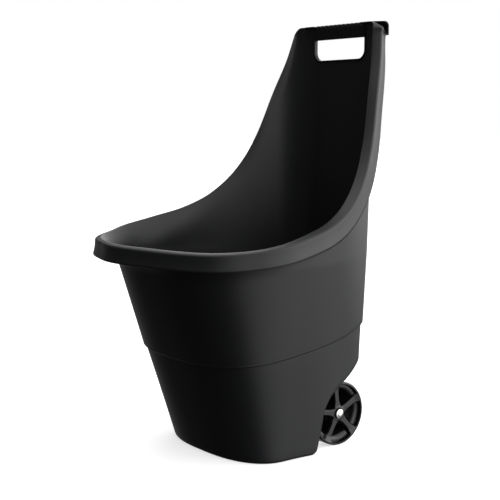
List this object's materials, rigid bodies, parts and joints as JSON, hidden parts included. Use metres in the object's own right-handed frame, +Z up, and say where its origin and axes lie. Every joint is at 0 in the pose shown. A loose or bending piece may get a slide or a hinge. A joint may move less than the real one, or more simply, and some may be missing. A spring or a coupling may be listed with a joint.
{
  "type": "garden cart",
  "caption": "One-piece moulded garden cart: a deep open tub with a flared rolled rim whose back rises into a handle, on wheels at the back.",
  "frame": {"origin": "on the ground, in the middle of the whole cart", "axes": "+Z up, -Y towards the front lip, +Y towards the handle and wheels, +X the cart's right side seen from behind the front lip looking back"},
  "size_m": [0.534, 0.57, 0.84],
  "materials": {
    "tub_plastic": "fine matt moulding grain",
    "wheel_plastic": "gloss",
    "axle_steel": "bright drawn rod",
    "cap_metal": "bright plated"
  },
  "bodies": {
    "cart": {"tub": "tub_plastic", "axle": "axle_steel", "hub_cap_right": "cap_metal", "hub_cap_left": "cap_metal", "washers": "axle_steel"},
    "wheel_right": {"wheel_right": "wheel_plastic"},
    "wheel_left": {"wheel_left": "wheel_plastic"}
  },
  "joints": [
    {"name": "wheel_right_spin", "type": "hinge", "parent": "cart", "child": "wheel_right", "pos_m": [0.12, 0.148, 0.064], "axis": [1, 0, 0], "continuous": true},
    {"name": "wheel_left_spin", "type": "hinge", "parent": "cart", "child": "wheel_left", "pos_m": [-0.12, 0.148, 0.064], "axis": [1, 0, 0], "continuous": true}
  ]
}
